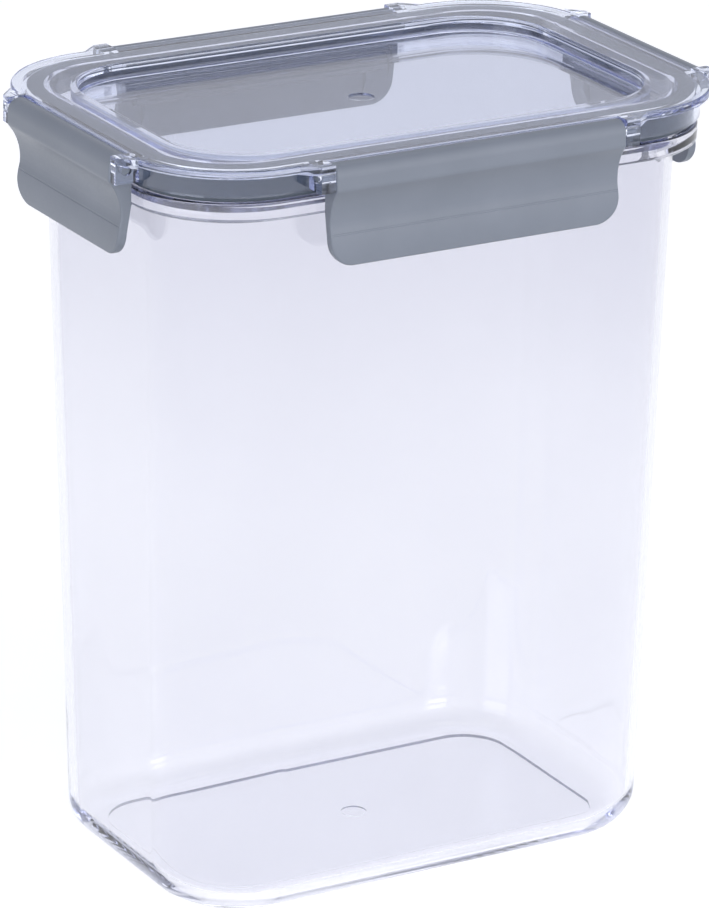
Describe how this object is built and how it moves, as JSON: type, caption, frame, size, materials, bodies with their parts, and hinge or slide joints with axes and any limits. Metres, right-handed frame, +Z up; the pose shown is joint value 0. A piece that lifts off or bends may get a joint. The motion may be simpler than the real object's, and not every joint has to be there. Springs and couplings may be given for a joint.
{
  "type": "food canister",
  "caption": "Tall clear rectangular food storage canister with a clip-on lid, a sealing ring and hinged locking flaps on each side.",
  "frame": {"origin": "on the floor, under the middle of the canister", "axes": "+Z up; X along the long side; the front, with a long flap, faces -Y and the left side, with a short flap, faces -X"},
  "size_m": [0.195, 0.1376, 0.23],
  "materials": {
    "clear_container": "clear, glossy",
    "clear_lid": "clear, glossy",
    "grey_silicone": "soft matt",
    "grey_flap": "fine satin"
  },
  "bodies": {
    "container": {"container": "clear_container"},
    "lid": {"lid": "clear_lid", "gasket": "grey_silicone"},
    "front_flap": {"front_flap": "grey_flap"},
    "right_flap": {"right_flap": "grey_flap"},
    "back_flap": {"back_flap": "grey_flap"},
    "left_flap": {"left_flap": "grey_flap"}
  },
  "joints": [
    {"name": "lid_lift", "type": "slide", "parent": "container", "child": "lid", "axis": [0, 0, 1], "range_m": [0, 0.06]},
    {"name": "front_flap_hinge", "type": "hinge", "parent": "lid", "child": "front_flap", "pos_m": [0, -0.0649, 0.226], "axis": [-1, 0, 0], "range_deg": [0, 135]},
    {"name": "right_flap_hinge", "type": "hinge", "parent": "lid", "child": "right_flap", "pos_m": [0.0936, 0, 0.226], "axis": [0, -1, 0], "range_deg": [0, 135]},
    {"name": "back_flap_hinge", "type": "hinge", "parent": "lid", "child": "back_flap", "pos_m": [0, 0.0649, 0.226], "axis": [1, 0, 0], "range_deg": [0, 135]},
    {"name": "left_flap_hinge", "type": "hinge", "parent": "lid", "child": "left_flap", "pos_m": [-0.0936, 0, 0.226], "axis": [0, 1, 0], "range_deg": [0, 135]}
  ]
}
